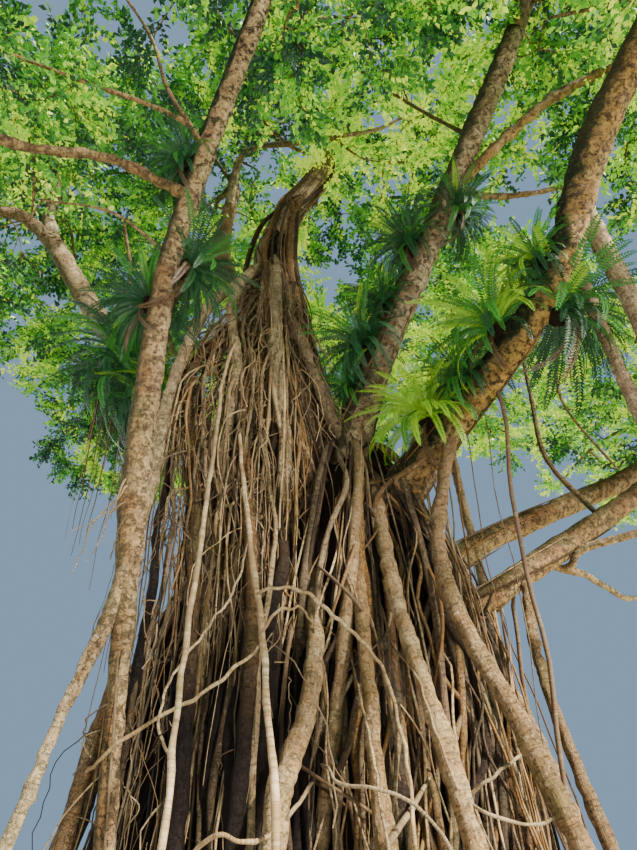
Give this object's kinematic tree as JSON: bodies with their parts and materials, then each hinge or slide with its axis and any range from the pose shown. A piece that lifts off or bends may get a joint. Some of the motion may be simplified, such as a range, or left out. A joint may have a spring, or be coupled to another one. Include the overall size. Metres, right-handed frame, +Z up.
{
  "type": "banyan tree",
  "caption": "Whole banyan tree: a trunk of fused roots, leaning boughs, hanging prop roots, clumps of fern and a wide broken crown.",
  "frame": {"origin": "middle of the trunk's flat cut at ground level", "axes": "+Z up, -Y towards the side that the picture shows, +X to the right of that view"},
  "size_m": [20.0911, 18.4072, 15.9089],
  "materials": {
    "root_wood": "rough fused roots",
    "bark": "smooth grey-brown bark with lichen",
    "prop_root": "ribbed tan root bark",
    "fern": "glossy strap fronds",
    "foliage": "small leathery leaves"
  },
  "bodies": {
    "root": {"trunk": "root_wood", "upper_column": "root_wood", "middle_bough": "bark", "left_stem": "bark", "tall_right_bough": "bark", "leaning_right_bough": "bark", "low_right_bough": "bark", "low_right_back_bough": "bark", "left_bough": "bark", "left_bough_upright": "bark", "left_bough_arm": "bark", "back_upright_bough": "bark", "back_right_bough": "bark", "back_bough": "bark", "back_left_bough": "bark", "left_branch": "bark", "right_branch": "bark", "front_root_1": "prop_root", "front_root_2": "prop_root", "front_root_3": "prop_root", "front_root_4": "prop_root", "front_root_5": "prop_root", "hanging_root_1": "prop_root", "hanging_root_2": "prop_root", "hanging_root_3": "prop_root", "hanging_root_4": "prop_root", "hanging_root_5": "prop_root", "hanging_root_6": "prop_root", "left_leg_1": "prop_root", "left_leg_2": "prop_root", "strangling_root_1": "prop_root", "strangling_root_2": "prop_root", "back_root_1": "prop_root", "back_root_2": "prop_root", "skirt_root_1": "prop_root", "skirt_root_2": "prop_root", "skirt_root_3": "prop_root", "skirt_root_4": "prop_root", "fern_1": "fern", "fern_2": "fern", "fern_3": "fern", "fern_4": "fern", "fern_5": "fern", "fern_6": "fern", "fern_7": "fern", "fern_8": "fern", "crown_top": "foliage", "crown_back_top": "foliage", "crown_right_top": "foliage", "crown_right_shoulder": "foliage", "crown_front": "foliage", "crown_right_front": "foliage", "crown_right": "foliage", "crown_right_back": "foliage", "crown_back_right": "foliage", "crown_back": "foliage", "crown_back_left": "foliage", "crown_left_top": "foliage", "crown_left": "foliage", "crown_left_front": "foliage"}
  },
  "joints": []
}
